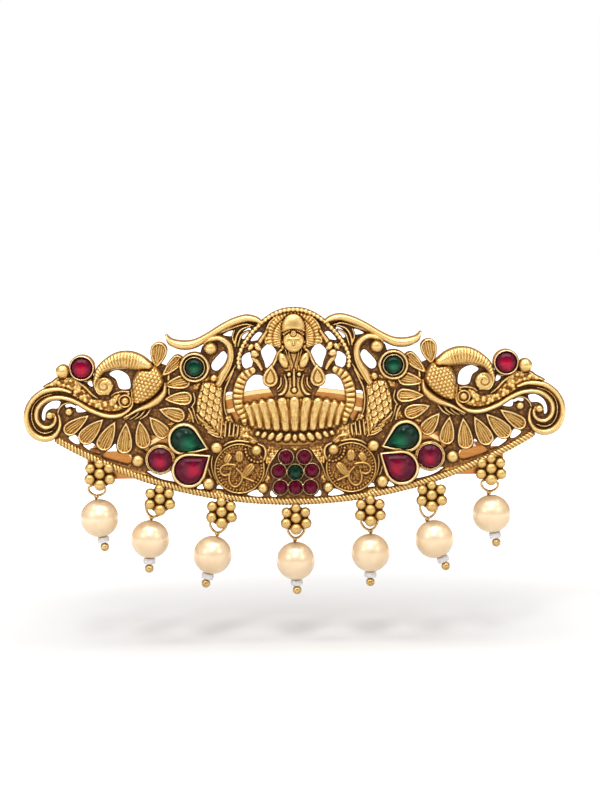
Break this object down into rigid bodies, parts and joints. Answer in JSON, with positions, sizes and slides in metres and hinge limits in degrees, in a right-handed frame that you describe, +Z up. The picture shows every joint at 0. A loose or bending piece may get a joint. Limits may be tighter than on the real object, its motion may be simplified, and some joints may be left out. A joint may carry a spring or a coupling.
{
  "type": "hair clip",
  "caption": "Pierced antique gold hair clip with red and green stones, hanging pearl drops and a hinged hair grip behind.",
  "frame": {"origin": "middle of the hair gap, between the base strip and the lever of the grip", "axes": "+X to the right as seen from the front, -Y to the front where the ornament faces, +Z up"},
  "size_m": [0.1124, 0.0142, 0.0601],
  "materials": {
    "antique_gold": "cast brass, gold plated, dark patina in the recesses",
    "clip_gold": "stamped brass strip, bright gold plating",
    "wire_gold": "drawn wire, gold plated",
    "red_stone": "foiled red glass, polished, faceted",
    "green_stone": "foiled green glass, polished, faceted",
    "pearl": "imitation pearl, cream lustre",
    "white_bead": "milky white bead"
  },
  "bodies": {
    "ornament": {"front_plate": "antique_gold", "clip_base": "clip_gold", "hinge_pin": "clip_gold", "wing_ruby_left": "red_stone", "round_emerald_left": "green_stone", "pear_emerald_left": "green_stone", "pear_ruby_left": "red_stone", "lower_ruby_left": "red_stone", "wing_ruby_right": "red_stone", "round_emerald_right": "green_stone", "pear_emerald_right": "green_stone", "pear_ruby_right": "red_stone", "lower_ruby_right": "red_stone", "flower_emerald": "green_stone", "flower_ruby_1": "red_stone", "flower_ruby_2": "red_stone", "flower_ruby_3": "red_stone", "flower_ruby_4": "red_stone", "flower_ruby_5": "red_stone", "flower_ruby_6": "red_stone", "flower_ruby_7": "red_stone", "drop_wire_1": "wire_gold", "drop_wire_2": "wire_gold", "drop_wire_3": "wire_gold", "drop_wire_4": "wire_gold", "drop_wire_5": "wire_gold", "drop_wire_6": "wire_gold", "drop_wire_7": "wire_gold", "pearl_1": "pearl", "pearl_2": "pearl", "pearl_3": "pearl", "pearl_4": "pearl", "pearl_5": "pearl", "pearl_6": "pearl", "pearl_7": "pearl", "seed_bead_1": "white_bead", "seed_bead_2": "white_bead", "seed_bead_3": "white_bead", "seed_bead_4": "white_bead", "seed_bead_5": "white_bead", "seed_bead_6": "white_bead", "seed_bead_7": "white_bead"},
    "lever": {"clip_lever": "clip_gold"}
  },
  "joints": [
    {"name": "lever_hinge", "type": "hinge", "parent": "ornament", "child": "lever", "pos_m": [-0.0418, 0.0031, -0.0112], "axis": [0, 0, 1], "range_deg": [0, 75]}
  ]
}
